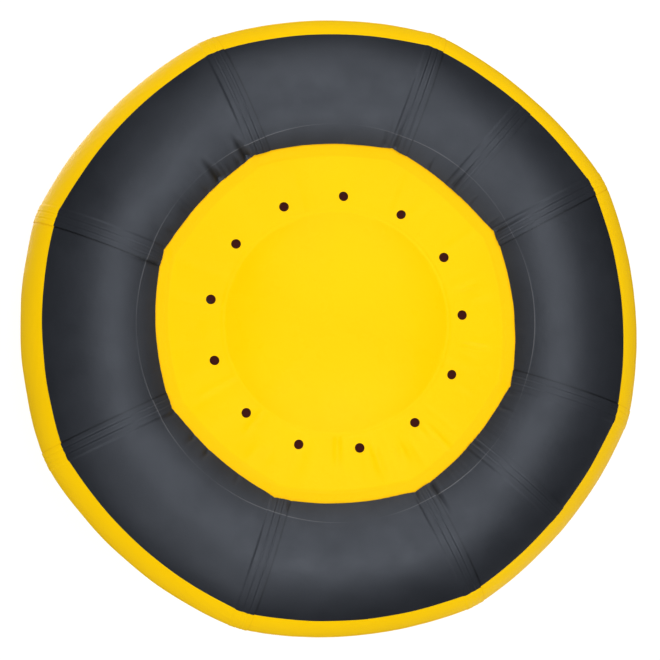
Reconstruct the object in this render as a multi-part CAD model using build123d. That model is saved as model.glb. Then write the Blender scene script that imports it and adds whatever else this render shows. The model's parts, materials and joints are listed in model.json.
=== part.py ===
from build123d import *
import os
from math import asin, cos, degrees, radians, sin

# A round towable tube: an inflated ring of welded PVC panels with a floor across its underside.
# Millimetres. +Z is up, +X points at the tow ring, and z = 0 is the surface that the tube rests on.

# ---- driving dimensions ----
TUBE_RADIUS = 163.0  # outside radius of the inflated tube's section
SPINE_MID = 443.0  # from the ring's axis to the section's centre, in the middle of a segment
SPINE_SEAM = 453.0  # the same at a seam, where the segments meet at a slight corner
SHEET = 1.2  # thickness of the coated PVC
WELD_GAP = 0.1  # between the layers of a lap
LAYER = SHEET + WELD_GAP
LAP_HALF = 17.0  # half the width of the welded laps between segments
JOGGLE = 2.0  # length over which a sheet steps up onto the next layer
SEAM_STEP = 0.3  # a lapped sheet's step off its own line where it crosses onto the next segment
SPINE_HEIGHT = TUBE_RADIUS + 2 * LAYER + SEAM_STEP
DECK_RADIUS = TUBE_RADIUS + LAYER  # outside of the top panels, which lie one layer up

# Each seam: its angle round the ring, and +1 where the sheet on its far side lies on top, else -1.
SEAMS = [(21.3, 1), (66.5, 1), (111.0, 1), (158.0, -1), (204.0, 1), (249.5, -1), (293.5, -1), (335.5, -1)]
SEGMENTS = ["front", "front_left", "left", "rear_left", "rear", "rear_right", "right", "front_right"]
SPLITS = {"front_left": (44.3, 1), "front_right": (314.8, -1)}  # extra laps in the black base

# Section angles are measured from the lowest point of the tube, positive on its outer side.
FLOOR_EDGE = -40.5
FLANGE_EDGE = -27.4
BASE_EDGE = 43.4
DECK_EDGE = 136.8
WELL_EDGE = 223.2
LAP_TURN = 6.0  # width of the laps that run round the ring
SLIT = 0.2  # between edges that meet in one layer

# Each kind of panel: its runs (from, to, layer), and the run of the lap at its ends. The base and the
# deck lie over the sides and the well's wall, and that wall steps down under the floor's flange.
FLANGE_TOP = FLOOR_EDGE - 0.5
STEP_DOWN = FLOOR_EDGE - 1.8
BASE_RUN = (FLOOR_EDGE, BASE_EDGE, 1)
DECK_RUN = (DECK_EDGE, WELL_EDGE, 1)
SIDE_RUN = (BASE_EDGE - LAP_TURN, DECK_EDGE + LAP_TURN, 0)
WALL_RUN = (WELL_EDGE - LAP_TURN, STEP_DOWN + 360, 0)
WALL_FOOT = (STEP_DOWN + 360, FLANGE_EDGE + 360, -1 - 1.1 * SEAM_STEP / LAYER)
FLANGE_RADIUS = TUBE_RADIUS - SEAM_STEP
PANELS = {
    "bottom_panel": ([BASE_RUN], [BASE_RUN]),
    "side_panel": ([SIDE_RUN], [(BASE_EDGE + SLIT, DECK_EDGE - SLIT, 0)]),
    "top_panel": ([DECK_RUN], [DECK_RUN]),
    "inner_panel": ([WALL_RUN, WALL_FOOT], [(WELL_EDGE + SLIT, STEP_DOWN + 360 - SLIT, 0)]),
}

FLOOR_UNDERSIDE = 42.05
DISC_RADIUS = 212.0  # the domed middle of the floor, under the seat
DISC_SAG = 15.0
DRAIN_COUNT, DRAIN_RADIUS, DRAIN_CIRCLE = 13, 9.3, 241.5
PAD_RADIUS, PAD_RISE = 204.0, 24.0
COVER_FLANGE = 262.0

WEB_THICK = 2.4
HANDLE_SEGMENTS = ["front_left", "rear_left", "rear_right", "front_right"]
HANDLE_WEB, HANDLE_TOP, HANDLE_PIVOT = 25.0, 50.0, 16.0
HANDLE_FOOT, HANDLE_SHOULDER = 90.0, 74.0
GRIP_LENGTH, GRIP_WIDE, GRIP_HIGH = 112.0, 34.0, 27.0
PATCH_LENGTH, PATCH_WIDE, PATCH_THICK = 256.0, 86.0, 1.5

TOW_ANGLE = 150.0  # section angle of the tow ring's bar
TOW_WEB, RING_WIRE, RING_HALF, RING_SIDE = 38.0, 4.0, 28.0, 16.0
RUNNING = 0.05

NECK_TOP, NECK_RADIUS = 22.0, 12.0
PORT_RADIUS, PORT_DEPTH, CHAMBER_RADIUS = 9.0, 11.0, 7.5  # the pump's mouth, and the plunger's chamber
STEM_RADIUS, PLUNGER_HEAD, SPRING_SEAT = 2.0, 9.0, 1.0
CAP_RADIUS, CAP_SKIRT, CAP_HINGE = 14.0, 2.0, 19.0


class Segment:
    """One of the eight lengths of the ring: a piece of a torus through its two seams and its middle."""

    def __init__(self, index):
        self.name = SEGMENTS[index]
        self.start = SEAMS[index - 1][0] - (360 if index == 0 else 0)
        self.end = SEAMS[index][0]
        self.middle = (self.start + self.end) / 2
        half = radians(self.end - self.start) / 2
        chord = SPINE_SEAM * sin(half)
        rise = SPINE_MID - SPINE_SEAM * cos(half)
        self.bend = (chord**2 + rise**2) / (2 * rise)
        self.sweep = degrees(asin(chord / self.bend))
        self.centre = Vector(SPINE_MID - self.bend, 0, 0).rotate(Axis.Z, self.middle)

    def turned(self, face, margin=6.0, lowest=None, highest=None):
        """Sweeps a face, drawn in the plane y = 0 from the bend's axis, along the segment."""
        first = -self.sweep - margin if lowest is None else lowest
        last = self.sweep + margin if highest is None else highest
        solid = revolve(face, Axis.Z, last - first)
        return solid.rotate(Axis.Z, self.middle + first).translate(self.centre)

    def section(self, radius, angle):
        turn = radians(angle)
        return Vector(self.bend + radius * sin(turn), 0, SPINE_HEIGHT - radius * cos(turn))

    def arc(self, radius, first, last):
        points = [self.section(radius, angle) for angle in (first, (first + last) / 2, last)]
        return ThreePointArc(*points)

    def profile(self, runs, lift_in=0, lift_out=0, stand_off=0.0):
        """The section of a sheet whose runs lie on different layers, joggled where they change."""
        step = degrees(JOGGLE / TUBE_RADIUS)
        edges = []
        corners = []
        for offset, shift in ((LAYER * lift_out, step), (LAYER * lift_in - SHEET, 0)):
            ends = [runs[0][0]]
            for run, after in zip(runs, runs[1:]):
                ends.append(run[1] + (shift if run[2] > after[2] else -shift))
            ends.append(runs[-1][1])
            radii = [TUBE_RADIUS + stand_off + offset + LAYER * run[2] for run in runs]
            pieces = [self.arc(r, a, b) for r, a, b in zip(radii, ends, ends[1:])]
            steps = [Line(a @ 1, b @ 0) for a, b in zip(pieces, pieces[1:])]
            edges += pieces + steps
            corners.append((pieces[0] @ 0, pieces[-1] @ 1))
        edges += [Line(corners[0][0], corners[1][0]), Line(corners[0][1], corners[1][1])]
        return make_face(edges)

    def band(self, radius_in, radius_out, first, last):
        outer = self.arc(radius_out, first, last)
        inner = self.arc(radius_in, first, last)
        return make_face([outer, inner, Line(outer @ 0, inner @ 0), Line(outer @ 1, inner @ 1)])

    def core(self, radius):
        """The solid tube of a given radius, over this segment."""
        face = Plane.XZ * Pos(self.bend, SPINE_HEIGHT) * Circle(radius)
        return self.turned(face, margin=2.0) & wedge((self.start, 0), (self.end, 0))

    def surface(self, angle, height=0.0):
        """A plane on the tube at mid segment: x along the ring, y up the section, z outwards."""
        turn = radians(angle)
        radius = DECK_RADIUS + height
        place = Vector(SPINE_MID + radius * sin(turn), 0, SPINE_HEIGHT - radius * cos(turn))
        outward = Vector(sin(turn), 0, -cos(turn)).rotate(Axis.Z, self.middle)
        along = Vector(0, 1, 0).rotate(Axis.Z, self.middle)
        return Plane(place.rotate(Axis.Z, self.middle), x_dir=along, z_dir=outward)


def wedge(low, high, inner=120.0, outer=800.0):
    """The space between two upright cuts, each an angle and an offset square to it."""
    corners = []
    for (angle, offset), reach in ((low, inner), (low, outer), (high, outer), (high, inner)):
        point = Vector(reach, offset, 0).rotate(Axis.Z, angle)
        corners.append((point.X, point.Y))
    outline = make_face(Polyline(*corners, close=True))
    return Pos(0, 0, -50) * extrude(outline, 500)


def whole(shapes):
    """One solid from shapes that touch or overlap."""
    joined = shapes[0]
    for shape in shapes[1:]:
        joined = joined + shape
    return joined


def near_seam(segment, at_end):
    """The turn range of the segment's sweep that holds one of its laps."""
    reach = 7.0
    centre = segment.sweep if at_end else -segment.sweep
    return {"lowest": centre - reach, "highest": centre + reach}


def lap(segment, beyond, seam, at_end, on_top, runs):
    """The pieces that carry a sheet across a seam, over or under the next one."""
    side = -1 if at_end else 1
    clear = LAP_HALF + SLIT

    def slab(first, last):
        low, high = sorted((side * first, side * last))
        return wedge((seam, low), (seam, high))

    own = near_seam(segment, at_end)
    far = near_seam(beyond, not at_end) if beyond is not segment else own
    if not on_top:
        return [beyond.turned(beyond.profile(runs, 0, 0, -SEAM_STEP), **far) & slab(-LAP_HALF, 0)]
    return [
        segment.turned(segment.profile(runs, 0, 1), **own) & slab(clear, clear + JOGGLE),
        segment.turned(segment.profile(runs, 1, 1), **own) & slab(0, clear + JOGGLE),
        beyond.turned(beyond.profile(runs, 1, 1, SEAM_STEP), **far) & slab(-LAP_HALF, 0),
    ]


def panel(kind, segment, start, end, before, after):
    """A panel between two seams, with the lap at each of its ends."""
    runs, lap_runs = PANELS[kind]
    cuts = []
    laps = []
    for (angle, upper), beyond, at_end in ((start, before, False), (end, after, True)):
        on_top = upper == (-1 if at_end else 1)
        side = -1 if at_end else 1
        cuts.append((angle, side * (LAP_HALF + SLIT) if on_top else 0))
        laps += lap(segment, beyond, angle, at_end, on_top, lap_runs)
    body = segment.turned(segment.profile(runs)) & wedge(*cuts)
    return whole([body] + laps)


def split_lap(segment, seam, upper_side, first_half, runs):
    """The lap of one half of a split panel, which stays on its own segment."""
    turn = seam - segment.middle
    scale = SPINE_MID / segment.bend
    place = {"lowest": turn * scale - 7.0, "highest": turn * scale + 7.0}
    side = -1 if first_half else 1
    on_top = upper_side == side
    clear = LAP_HALF + SLIT

    def piece(lift_in, lift_out, first, last):
        low, high = sorted((side * first, side * last))
        face = segment.profile(runs, lift_in, lift_out)
        return segment.turned(face, **place) & wedge((seam, low), (seam, high))

    if on_top:
        return [piece(0, 1, clear, clear + JOGGLE), piece(1, 1, -LAP_HALF, clear + JOGGLE)]
    return [piece(0, 0, -LAP_HALF, 1.0)]


def half_panel(segment, seam, split, beyond, first_half):
    """Half of a base panel, from a seam to the extra lap in the middle of its segment."""
    runs, lap_runs = PANELS["bottom_panel"]
    angle, upper = seam
    on_top = upper == (1 if first_half else -1)
    side = 1 if first_half else -1
    outer_cut = (angle, side * (LAP_HALF + SLIT) if on_top else 0)
    split_on_top = split[1] == (-1 if first_half else 1)
    inner_cut = (split[0], -side * (LAP_HALF + SLIT) if split_on_top else 0)
    cuts = (outer_cut, inner_cut) if first_half else (inner_cut, outer_cut)
    body = segment.turned(segment.profile(runs)) & wedge(*cuts)
    pieces = lap(segment, beyond, angle, not first_half, on_top, lap_runs)
    return whole([body] + pieces + split_lap(segment, split[0], split[1], first_half, runs))


def hull_panels(ring):
    """Every welded panel of the inflated tube, by name."""
    made = {}
    for index, segment in enumerate(ring):
        before, after = ring[index - 1], ring[(index + 1) % len(ring)]
        start = (segment.start, SEAMS[index - 1][1])
        end = (segment.end, SEAMS[index][1])
        for kind in PANELS:
            if kind == "bottom_panel" and segment.name in SPLITS:
                split = SPLITS[segment.name]
                made[f"{kind}_{segment.name}_a"] = half_panel(segment, start, split, before, True)
                made[f"{kind}_{segment.name}_b"] = half_panel(segment, end, split, after, False)
            else:
                made[f"{kind}_{segment.name}"] = panel(kind, segment, start, end, before, after)
    return made


def disc_arc(radius, low):
    """The arc of the floor's dome, out to a radius, with its middle the lowest."""
    sphere = (DISC_RADIUS**2 + DISC_SAG**2) / (2 * DISC_SAG)

    def at(reach):
        drop = (sphere**2 - reach**2) ** 0.5 - (sphere**2 - DISC_RADIUS**2) ** 0.5
        return (reach, low - drop)

    return ThreePointArc(at(0), at(radius / 2), at(radius))


def floor_sheet(ring):
    """The floor: flat round its edge, domed in the middle, with drain holes and a welded flange."""
    low, high = FLOOR_UNDERSIDE, FLOOR_UNDERSIDE + SHEET
    rim = SPINE_MID - 100
    under, over = disc_arc(DISC_RADIUS, low), disc_arc(DISC_RADIUS, high)
    edges = [under, over, Line(under @ 0, over @ 0), Line(under @ 1, (rim, low))]
    edges += [Line((rim, low), (rim, high)), Line((rim, high), over @ 1)]
    floor = revolve(Plane.XZ * make_face(edges), Axis.Z)
    for segment in ring:
        floor = floor - segment.core(FLANGE_RADIUS - SHEET)
    for segment in ring:
        face = segment.band(FLANGE_RADIUS - SHEET, FLANGE_RADIUS, FLANGE_TOP, FLANGE_EDGE)
        floor = floor + (segment.turned(face) & wedge((segment.start, 0), (segment.end, 0)))
    drains = PolarLocations(DRAIN_CIRCLE, DRAIN_COUNT) * Cylinder(DRAIN_RADIUS, 200)
    return floor - drains


def seat_foam_pad():
    """The foam disc of the seat, resting in the floor's dome."""
    low = FLOOR_UNDERSIDE + SHEET
    under = disc_arc(PAD_RADIUS, low + WELD_GAP + 1.2)
    top = low + PAD_RISE
    edges = [under, Line(under @ 0, (0, top)), Line((0, top), (PAD_RADIUS, top))]
    edges += [Line((PAD_RADIUS, top), under @ 1)]
    pad = revolve(Plane.XZ * make_face(edges), Axis.Z)
    return fillet(pad.edges().group_by(Axis.Z)[-1], 8.0)


def seat_cover():
    """The cover welded down round the pad."""
    low = FLOOR_UNDERSIDE + SHEET + WELD_GAP
    inner, top = PAD_RADIUS + 0.4, FLOOR_UNDERSIDE + SHEET + PAD_RISE + 0.3
    outline = FilletPolyline(
        (COVER_FLANGE, low),
        (inner, low),
        (inner, top),
        (0, top),
        (0, top + SHEET),
        (inner + SHEET, top + SHEET),
        (inner + SHEET, low + SHEET),
        (COVER_FLANGE, low + SHEET),
        radius=[0, 0, 8.0, 0, 0, 9.0, 1.5, 0],
        close=True,
    )
    return revolve(Plane.XZ * make_face(outline), Axis.Z)


def handle_patch(segment):
    """The reinforcing patch under a handle, with the sewn-down ends of the webbing on it."""
    seat = segment.surface(180)
    base = DECK_RADIUS + WELD_GAP
    skin = segment.turned(segment.band(base, base + PATCH_THICK, 150, 210))
    patch = skin & seat * extrude(SlotOverall(PATCH_LENGTH, PATCH_WIDE), 40, both=True)
    top = base + PATCH_THICK
    webbing = segment.turned(segment.band(top - 0.5, top + WEB_THICK, 170, 190))
    for side in (-1, 1):
        tab = Pos(side * (HANDLE_FOOT + 15), 0) * Rectangle(30, HANDLE_WEB)
        patch = patch + (webbing & seat * extrude(tab, 40, both=True))
    return patch


def handle_strap(segment):
    """The raised webbing of a handle, from one foot over to the other."""
    path = FilletPolyline(
        (-HANDLE_FOOT, HANDLE_PIVOT),
        (-HANDLE_SHOULDER, HANDLE_TOP),
        (HANDLE_SHOULDER, HANDLE_TOP),
        (HANDLE_FOOT, HANDLE_PIVOT),
        radius=16.0,
    )
    band = extrude(Plane.XZ * trace(path, line_width=WEB_THICK), HANDLE_WEB / 2, both=True)
    return segment.surface(180) * band


def handle_grip(segment):
    """The moulded grip round the middle of a handle's webbing."""
    outline = Ellipse(GRIP_WIDE / 2, GRIP_HIGH / 2)
    slot = RectangleRounded(HANDLE_WEB + 0.8, WEB_THICK + 0.8, 1.0)
    grip = extrude(outline, GRIP_LENGTH / 2, both=True)
    grip = fillet(grip.edges(), 4.0) - extrude(slot, GRIP_LENGTH, both=True)
    place = segment.surface(180) * Plane(origin=(0, 0, HANDLE_TOP), x_dir=(0, 1, 0), z_dir=(1, 0, 0))
    return place * grip


def tow_patch(segment):
    """The reinforcing patch welded on under the tow webbing."""
    base = DECK_RADIUS + WELD_GAP
    skin = segment.turned(segment.band(base, base + PATCH_THICK, DECK_EDGE, 190))
    outline = RectangleRounded(112, 108, 28)
    return skin & segment.surface(TOW_ANGLE + 10) * extrude(outline, 40, both=True)


def tow_webbing(segment):
    """The webbing sewn to the patch and looped round the bar of the tow ring."""
    top = DECK_RADIUS + WELD_GAP + PATCH_THICK + WELD_GAP
    sewn = segment.turned(segment.band(top, top + 2 * WEB_THICK, TOW_ANGLE + 3, TOW_ANGLE + 24))
    flat = segment.surface(TOW_ANGLE)
    slab = flat * extrude(Rectangle(TOW_WEB, 200), 40, both=True)
    loop_radius = RING_WIRE + RUNNING + WEB_THICK
    base = top - DECK_RADIUS
    height = base + loop_radius
    outline = Polyline(
        (0, base), (0, height + loop_radius), (6, height + 4.2), (16, base + 4.4), (16, base), close=True
    )
    side = make_face(outline) + Pos(0, height) * Circle(loop_radius)
    side = side - Pos(0, height) * Circle(RING_WIRE + RUNNING)
    loop = extrude(Plane.YZ * side, TOW_WEB / 2, both=True)
    return (sewn & slab) + flat * loop


def bar_height():
    return WELD_GAP + PATCH_THICK + WELD_GAP + RING_WIRE + RUNNING + WEB_THICK


def tow_ring(segment):
    """The steel D-ring, held straight out from the tube: its bar turns in the webbing."""
    corner = 8.0
    path = Line((0, 0), (RING_HALF - corner, 0))
    path += JernArc(path @ 1, path % 1, corner, 90)
    path += Line(path @ 1, (RING_HALF, RING_SIDE))
    path += JernArc((RING_HALF, RING_SIDE), (0, 1), RING_HALF, 90)
    half = sweep(Plane((0, 0, 0), x_dir=(0, 1, 0), z_dir=(1, 0, 0)) * Circle(RING_WIRE), path=path)
    ring = half + mirror(half, about=Plane.YZ)
    bar = segment.surface(TOW_ANGLE, bar_height()).origin
    out = Vector(1, 0, 0).rotate(Axis.Z, segment.middle)
    place = Plane(bar, x_dir=out.cross(Vector(0, 0, 1)), z_dir=(0, 0, 1))
    return place * ring


def valve_parts(segment):
    """The inflation valve on top of the tube, its axis upright."""
    seat = Pos(*segment.surface(180).origin) * Rot(0, 0, segment.middle)
    barrel, lip, web = 13.0, -16.0, -3.0
    flange = Cylinder(26, 5.0)
    body = Pos(0, 0, (NECK_TOP + 1) / 2) * Cylinder(NECK_RADIUS, NECK_TOP - 1)
    body += Pos(0, 0, lip / 2 + 1.25) * Cylinder(barrel, 2.5 - lip)
    body = body - Pos(0, 0, NECK_TOP) * Cylinder(PORT_RADIUS, 2 * PORT_DEPTH)
    body = body - Pos(0, 0, (NECK_TOP + SPRING_SEAT) / 2) * Cylinder(CHAMBER_RADIUS, NECK_TOP - SPRING_SEAT)
    body = body - Pos(0, 0, (web + lip) / 2 - 1) * Cylinder(PORT_RADIUS, web - lip + 2)
    body = body - Cylinder(STEM_RADIUS + RUNNING, 60) - PolarLocations(5.9, 4) * Cylinder(1.7, 60)
    rim = (seat * flange) - segment.core(DECK_RADIUS + WELD_GAP) - seat * Cylinder(barrel - 1, 60)
    nut = seat * (Pos(0, 0, -4) * Cylinder(24, 8) - Cylinder(barrel + RUNNING, 60))
    head = Pos(0, 0, PLUNGER_HEAD + 0.8) * Cylinder(5.0, 1.6)
    stem_low = lip - 3.9
    stem = Pos(0, 0, (PLUNGER_HEAD + stem_low) / 2) * Cylinder(STEM_RADIUS, PLUNGER_HEAD - stem_low)
    foot = Pos(0, 0, stem_low + 0.8) * Cylinder(8.0, 1.6)
    seal = Pos(0, 0, lip - 1.2) * (Cylinder(11.0, 2.0) - Cylinder(STEM_RADIUS + 0.02, 10))
    return {
        "valve_body": seat * body + rim,
        "valve_back_nut": nut & segment.core(DECK_RADIUS - SHEET - WELD_GAP),
        "valve_plunger": seat * (head + stem + foot),
        "valve_seal": seat * seal,
        "valve_spring": seat * valve_spring(),
        "valve_cap": seat * valve_cap(),
        "valve_cap_tether": seat * valve_tether(),
    }


def valve_spring():
    """The return spring, between the body's web and the plunger's head."""
    wire, coil, turns = 0.4, 3.6, 4
    length = PLUNGER_HEAD - SPRING_SEAT - 2 * wire - 2 * RUNNING
    path = Helix(pitch=length / turns, height=length, radius=coil)
    section = Plane(path @ 0, z_dir=path % 0) * Circle(wire)
    return Pos(0, 0, SPRING_SEAT + wire + RUNNING) * sweep(section, path=path, is_frenet=True)


def valve_cap():
    """The cap, with the skirt that grips the neck and the lug that its tether holds."""
    base = NECK_TOP + 0.1
    disc = Pos(0, 0, base + 1.25) * Cylinder(CAP_RADIUS, 2.5)
    disc = fillet(disc.edges().group_by(Axis.Z)[-1], 1.0)
    skirt = Pos(0, 0, base - CAP_SKIRT / 2) * Cylinder(CAP_RADIUS - 0.2, CAP_SKIRT)
    skirt = skirt - Pos(0, 0, base - CAP_SKIRT / 2) * Cylinder(NECK_RADIUS + 0.3, CAP_SKIRT + 1)
    arm = Pos((CAP_RADIUS + CAP_HINGE) / 2 - 0.5, 0, base + 1.25) * Box(CAP_HINGE - CAP_RADIUS + 2, 6, 1.5)
    leg_low = NECK_TOP - 0.3
    leg = Pos(CAP_HINGE, 0, (leg_low + base + 2) / 2) * Box(1.0, 6, base + 2 - leg_low)
    return disc + skirt + arm + leg


def valve_tether():
    """The ring round the valve's neck, with the upright tab that the cap hinges on."""
    level = 12.0
    ring = Pos(0, 0, level + 0.8) * (Cylinder(NECK_RADIUS + 3.4, 1.6) - Cylinder(NECK_RADIUS + RUNNING, 10))
    reach = CAP_HINGE + 0.5
    tab = Pos((NECK_RADIUS + 2 + reach) / 2, 0, level + 0.8) * Box(reach - NECK_RADIUS - 2, 6, 1.6)
    top = NECK_TOP - 2.7
    post = Pos(CAP_HINGE, 0, (level + top) / 2) * Box(1.0, 6, top - level)
    return ring + tab + post


def everything():
    ring = [Segment(index) for index in range(len(SEGMENTS))]
    named = {segment.name: segment for segment in ring}
    made = hull_panels(ring)
    rear = named["rear"]
    valve_hole = Pos(*rear.surface(180).origin) * Cylinder(13.2, 60)
    made["top_panel_rear"] = made["top_panel_rear"] - valve_hole
    made["floor_sheet"] = floor_sheet(ring)
    made["seat_foam_pad"] = seat_foam_pad()
    made["seat_cover"] = seat_cover()
    for name in HANDLE_SEGMENTS:
        made[f"handle_patch_{name}"] = handle_patch(named[name])
        made[f"handle_strap_{name}"] = handle_strap(named[name])
        made[f"handle_grip_{name}"] = handle_grip(named[name])
    front = named["front"]
    made["tow_patch"] = tow_patch(front)
    made["tow_webbing"] = tow_webbing(front)
    made["tow_ring"] = tow_ring(front)
    made.update(valve_parts(rear))
    return made


os.makedirs("parts", exist_ok=True)
for node, shape in everything().items():
    export_step(shape, f"parts/{node}.step")
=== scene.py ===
import json
import math
import random

import bpy
import numpy as np
from mathutils import Matrix, Vector


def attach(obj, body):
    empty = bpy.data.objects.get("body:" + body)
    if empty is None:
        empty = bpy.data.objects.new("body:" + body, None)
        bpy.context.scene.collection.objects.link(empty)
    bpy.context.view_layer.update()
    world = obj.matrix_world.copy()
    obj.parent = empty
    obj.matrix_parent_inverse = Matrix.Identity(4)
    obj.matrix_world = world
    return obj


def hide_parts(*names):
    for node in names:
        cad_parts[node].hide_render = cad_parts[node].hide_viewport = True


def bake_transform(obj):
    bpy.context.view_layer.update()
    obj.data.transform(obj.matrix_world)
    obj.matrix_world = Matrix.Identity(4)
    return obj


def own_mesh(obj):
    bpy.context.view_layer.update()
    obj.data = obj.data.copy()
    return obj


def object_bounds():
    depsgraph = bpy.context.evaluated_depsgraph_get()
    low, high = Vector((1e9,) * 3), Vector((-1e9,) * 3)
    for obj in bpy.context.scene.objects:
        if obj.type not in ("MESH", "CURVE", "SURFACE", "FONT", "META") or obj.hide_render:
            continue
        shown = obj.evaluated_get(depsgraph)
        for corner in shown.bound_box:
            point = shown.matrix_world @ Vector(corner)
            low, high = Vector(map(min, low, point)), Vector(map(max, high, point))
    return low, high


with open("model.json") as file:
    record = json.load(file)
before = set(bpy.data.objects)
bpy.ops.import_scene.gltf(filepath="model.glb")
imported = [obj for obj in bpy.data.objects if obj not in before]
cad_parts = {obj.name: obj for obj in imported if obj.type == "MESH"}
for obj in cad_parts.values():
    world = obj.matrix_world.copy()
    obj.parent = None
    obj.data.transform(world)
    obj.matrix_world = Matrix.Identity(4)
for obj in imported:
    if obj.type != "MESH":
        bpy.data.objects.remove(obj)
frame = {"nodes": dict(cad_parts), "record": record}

# A round towable tube, seen from below as it lies face down. Lengths are in millimetres until a mesh
# is made, when MM turns them into the frame's metres.
MM = 0.001
CAD_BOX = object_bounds()
SEED = 7

# ---- the hull's shape, as in the frame ----
TUBE_RADIUS = 163.0
SPINE_MID = 443.0
SPINE_SEAM = 453.0
SHEET = 1.2
LAYER = 1.3
SPINE_HEIGHT = TUBE_RADIUS + 2 * LAYER + 0.3
DECK_RADIUS = TUBE_RADIUS + LAYER
LAP_HALF = 17.0
SEAMS = [(21.3, 1), (66.5, 1), (111.0, 1), (158.0, -1), (204.0, 1), (249.5, -1), (293.5, -1), (335.5, -1)]
SEGMENTS = ["front", "front_left", "left", "rear_left", "rear", "rear_right", "right", "front_right"]
SPLITS = {"front_left": (44.3, 1), "front_right": (314.8, -1)}
FLOOR_EDGE, BASE_EDGE = -40.5, 43.4
FLANGE_REACH, FLANGE_MIDDLE = 376.0, -25.6
DECK_EDGE, WELL_EDGE = 136.8, 223.2
LAP_TURN = 6.0
# The section angle of the black base's inner edge as it looks, a little further out than FLOOR_EDGE.
FLOOR_LINE = -38.3
# How far the base's inner and outer edges stray, in degrees round the section, as (cycles round the ring,
# size, direction): one cycle sets an edge off centre, and two make it oval.
FLOOR_DRIFT = [(2, 1.0, 95)]
BASE_DRIFT = [(1, 2.0, 90), (2, 1.5, 160)]
# How far each edge reaches out at its corners, in degrees round the section, and how far beside its seam
# each corner sits, in degrees round the ring, towards the side that the seam's rule names.
INNER_PEAK, OUTER_PEAK = 1.7, 1.0
INNER_LEAN, OUTER_LEAN = 2.2, 1.3

FLOOR_LOW = 42.05
DISC_RADIUS, DISC_SAG = 212.0, 15.0
DRAIN_COUNT, DRAIN_RADIUS, DRAIN_CIRCLE = 13, 9.3, 241.5
PAD_RADIUS, PAD_RISE, SKIRT_RADIUS = 204.0, 24.0, 262.0

HANDLE_WEB, HANDLE_TOP, HANDLE_PIVOT = 25.0, 50.0, 16.0
HANDLE_FOOT, HANDLE_SHOULDER = 90.0, 74.0
WEB_THICK = 2.4
PATCH_THICK = 1.5
TOW_ANGLE = 150.0


# ---- small tools ----
def smooth(edge0, edge1, x):
    t = np.clip((x - edge0) / (edge1 - edge0), 0.0, 1.0)
    return t * t * (3 - 2 * t)


def bell(x, centre, width):
    return np.exp(-(((x - centre) / width) ** 2))


def ripple(angle, low, high, count, salt):
    """A fixed, irregular wave round the ring, in about -1 to 1."""
    dice = random.Random(SEED * 100 + salt)
    total = np.zeros_like(angle)
    for _ in range(count):
        waves = dice.uniform(low, high)
        total = total + np.sin(np.radians(angle) * waves + dice.uniform(0, 2 * math.pi))
    return total / math.sqrt(count)


def drift(angle, waves):
    return sum(size * np.cos(np.radians(count * angle - phase)) for count, size, phase in waves)


def peaks(theta, lean):
    """1 at each corner, falling off within a few degrees of it: a welded edge is pointed where it turns."""
    gaps = [np.abs((theta - seam - rule * lean + 180) % 360 - 180) for seam, rule in SEAMS]
    return sum(np.exp(-gap / 2.0) for gap in gaps)


def graded(low, high, coarse, fine_spots):
    """Sample places from low to high: a coarse step, and a fine one round each (centre, reach, step)."""
    places = [low]
    while places[-1] < high - 1e-6:
        here = places[-1]
        step = coarse
        for centre, reach, fine in fine_spots:
            if abs(here + 0.5 * fine - centre) <= reach:
                step = min(step, fine)
            elif here < centre - reach < here + step:
                step = min(step, max(fine, centre - reach - here))
        places.append(min(high, here + step))
    return np.array(places)


def mesh_object(name, points, faces, smooth_shade=True, **layers):
    """A mesh from millimetre points, with optional per-point values for its material."""
    mesh = bpy.data.meshes.new(name)
    mesh.from_pydata((np.asarray(points) * MM).tolist(), [], faces)
    mesh.validate()
    mesh.polygons.foreach_set("use_smooth", [smooth_shade] * len(mesh.polygons))
    for label, values in layers.items():
        layer = mesh.attributes.new(label, "FLOAT", "POINT")
        layer.data.foreach_set("value", np.asarray(values, dtype=np.float32))
    thing = bpy.data.objects.new(name, mesh)
    bpy.context.collection.objects.link(thing)
    return thing


def sharpen(thing, degrees=40):
    """Marks the edges that turn by more than an angle as sharp, so that a sheet's rim stays crisp."""
    mesh = thing.data
    mesh.set_sharp_from_angle(angle=math.radians(degrees))
    return thing


def sheet_faces(rows, columns, wrap=False):
    """Quads of a closed sheet: an outer grid, an inner grid after it, and the rim between them."""
    size = rows * columns
    faces = []
    last = columns if wrap else columns - 1
    for r in range(rows - 1):
        for c in range(last):
            a, b = r * columns + c, r * columns + (c + 1) % columns
            d, e = a + columns, b + columns
            faces.append((a, b, e, d))
            faces.append((size + d, size + e, size + b, size + a))
    for c in range(last):
        a, b = c, (c + 1) % columns
        far = (rows - 1) * columns
        faces.append((b, a, size + a, size + b))
        faces.append((far + a, far + b, size + far + b, size + far + a))
    if not wrap:
        for r in range(rows - 1):
            a, d = r * columns, (r + 1) * columns
            faces.append((a, d, size + d, size + a))
            a, d = a + columns - 1, d + columns - 1
            faces.append((d, a, size + a, size + d))
    return faces


# ---- the inflated surface ----
class Segment:
    def __init__(self, index):
        self.name = SEGMENTS[index]
        self.start = SEAMS[index - 1][0] - (360 if index == 0 else 0)
        self.end = SEAMS[index][0]
        self.start_rule, self.end_rule = SEAMS[index - 1][1], SEAMS[index][1]
        self.middle = (self.start + self.end) / 2
        half = math.radians(self.end - self.start) / 2
        chord = SPINE_SEAM * math.sin(half)
        rise = SPINE_MID - SPINE_SEAM * math.cos(half)
        self.bend = (chord**2 + rise**2) / (2 * rise)
        self.set_back = self.bend - SPINE_MID

    def reach(self, theta, phi, rho):
        """Distance from the ring's axis to the surface, along the ray at angle theta."""
        level = self.bend + rho * np.sin(np.radians(phi))
        turn = np.radians(theta - self.middle)
        across = self.set_back * np.sin(turn)
        return np.sqrt(level**2 - across**2) - self.set_back * np.cos(turn)


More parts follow.
